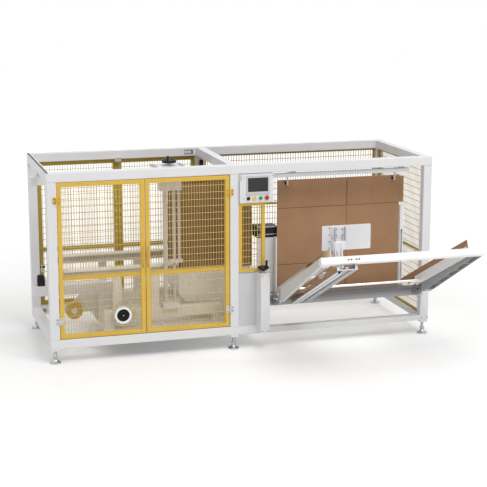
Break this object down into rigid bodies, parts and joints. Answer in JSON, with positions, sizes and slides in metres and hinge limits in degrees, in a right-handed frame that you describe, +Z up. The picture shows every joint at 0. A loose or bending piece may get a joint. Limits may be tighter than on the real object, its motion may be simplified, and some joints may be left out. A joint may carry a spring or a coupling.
{
  "type": "case erector",
  "caption": "Guarded frame machine that opens flat carton blanks, with mesh doors, a control box and an inclined blank magazine with a pusher.",
  "frame": {"origin": "centre of the front left foot on the floor", "axes": "+X along the machine from outfeed to magazine, +Y from front to back, +Z up"},
  "size_m": [3.626, 2.6263, 1.7633],
  "materials": {
    "white_paint": "satin powder coat",
    "yellow_paint": "satin powder coat",
    "steel": "plain machined steel",
    "chrome": "hard chrome",
    "black_plastic": "moulded",
    "belt_rubber": "matt belt",
    "chain_steel": "oiled steel",
    "cardboard": "plain corrugated board",
    "tape": "wound packing tape"
  },
  "bodies": {
    "frame": {"base_long_beams": "white_paint", "base_cross_beams": "white_paint", "posts": "white_paint", "top_long_beams": "white_paint", "top_cross_beams": "white_paint", "control_box": "white_paint", "lower_panel": "white_paint", "adjuster_column": "white_paint", "magazine_crossbeam": "white_paint", "magazine_front_bar": "white_paint", "blank_side_guides": "white_paint", "outfeed_beam": "white_paint", "upper_guide_beam": "white_paint", "lift_block": "white_paint", "suction_plate": "white_paint", "lift_bridge": "white_paint", "guide_tubes": "white_paint", "rear_guard_frame": "yellow_paint", "rear_mesh_left": "yellow_paint", "rear_mesh_middle": "yellow_paint", "rear_mesh_right": "yellow_paint", "end_guard_frame": "yellow_paint", "end_mesh_front": "yellow_paint", "end_mesh_back": "yellow_paint", "control_guard": "yellow_paint", "bed_plate": "steel", "door_hinges": "steel", "rail_brackets": "steel", "center_guide": "steel", "guide_boards": "steel", "magazine_side_rails": "steel", "blank_top_stops": "steel", "folding_housing": "steel", "lower_beams": "steel", "side_belt_units": "steel", "tape_unit": "steel", "wheel_spindles": "steel", "leveling_feet": "chrome", "width_shaft": "chrome", "lift_rods": "chrome", "touch_screen": "black_plastic", "control_buttons": "black_plastic", "blank_top_rollers": "black_plastic", "drive_motor": "black_plastic", "suction_head": "black_plastic", "side_belts": "belt_rubber", "feed_chain": "chain_steel", "carton_blank": "cardboard", "opened_carton": "cardboard", "tape_roll": "tape"},
    "front_left_door": {"front_left_door": "yellow_paint"},
    "front_right_door": {"front_right_door": "yellow_paint"},
    "rear_left_door": {"rear_left_door": "yellow_paint"},
    "rear_right_door": {"rear_right_door": "yellow_paint"},
    "pusher": {"pusher_plate": "white_paint", "pusher_arm": "steel"},
    "column_wheel": {"column_wheel": "black_plastic"},
    "lift_wheel": {"lift_wheel": "black_plastic"},
    "dial_wheel": {"dial_wheel": "black_plastic"}
  },
  "joints": [
    {"name": "front_left_door_hinge", "type": "hinge", "parent": "frame", "child": "front_left_door", "pos_m": [0.043, -0.05, 0.9], "axis": [0, 0, -1], "range_deg": [0, 110]},
    {"name": "front_right_door_hinge", "type": "hinge", "parent": "frame", "child": "front_right_door", "pos_m": [1.577, -0.05, 0.9], "axis": [0, 0, 1], "range_deg": [0, 110]},
    {"name": "rear_left_door_hinge", "type": "hinge", "parent": "frame", "child": "rear_left_door", "pos_m": [0.043, 1.24, 0.9], "axis": [0, 0, 1], "range_deg": [0, 110]},
    {"name": "rear_right_door_hinge", "type": "hinge", "parent": "frame", "child": "rear_right_door", "pos_m": [1.577, 1.24, 0.9], "axis": [0, 0, -1], "range_deg": [0, 110]},
    {"name": "pusher_slide", "type": "slide", "parent": "frame", "child": "pusher", "axis": [0, 0.9033, -0.4289], "range_m": [0, 0.6]},
    {"name": "column_wheel_turn", "type": "hinge", "parent": "frame", "child": "column_wheel", "pos_m": [1.865, -0.1125, 0.74], "axis": [0, 0, 1], "continuous": true},
    {"name": "lift_wheel_turn", "type": "hinge", "parent": "frame", "child": "lift_wheel", "pos_m": [1.085, 0.2, 1.695], "axis": [0, 0, 1], "continuous": true},
    {"name": "dial_wheel_turn", "type": "hinge", "parent": "frame", "child": "dial_wheel", "pos_m": [0.633, 0.12, 0.35375], "axis": [0, -1, 0], "continuous": true}
  ]
}
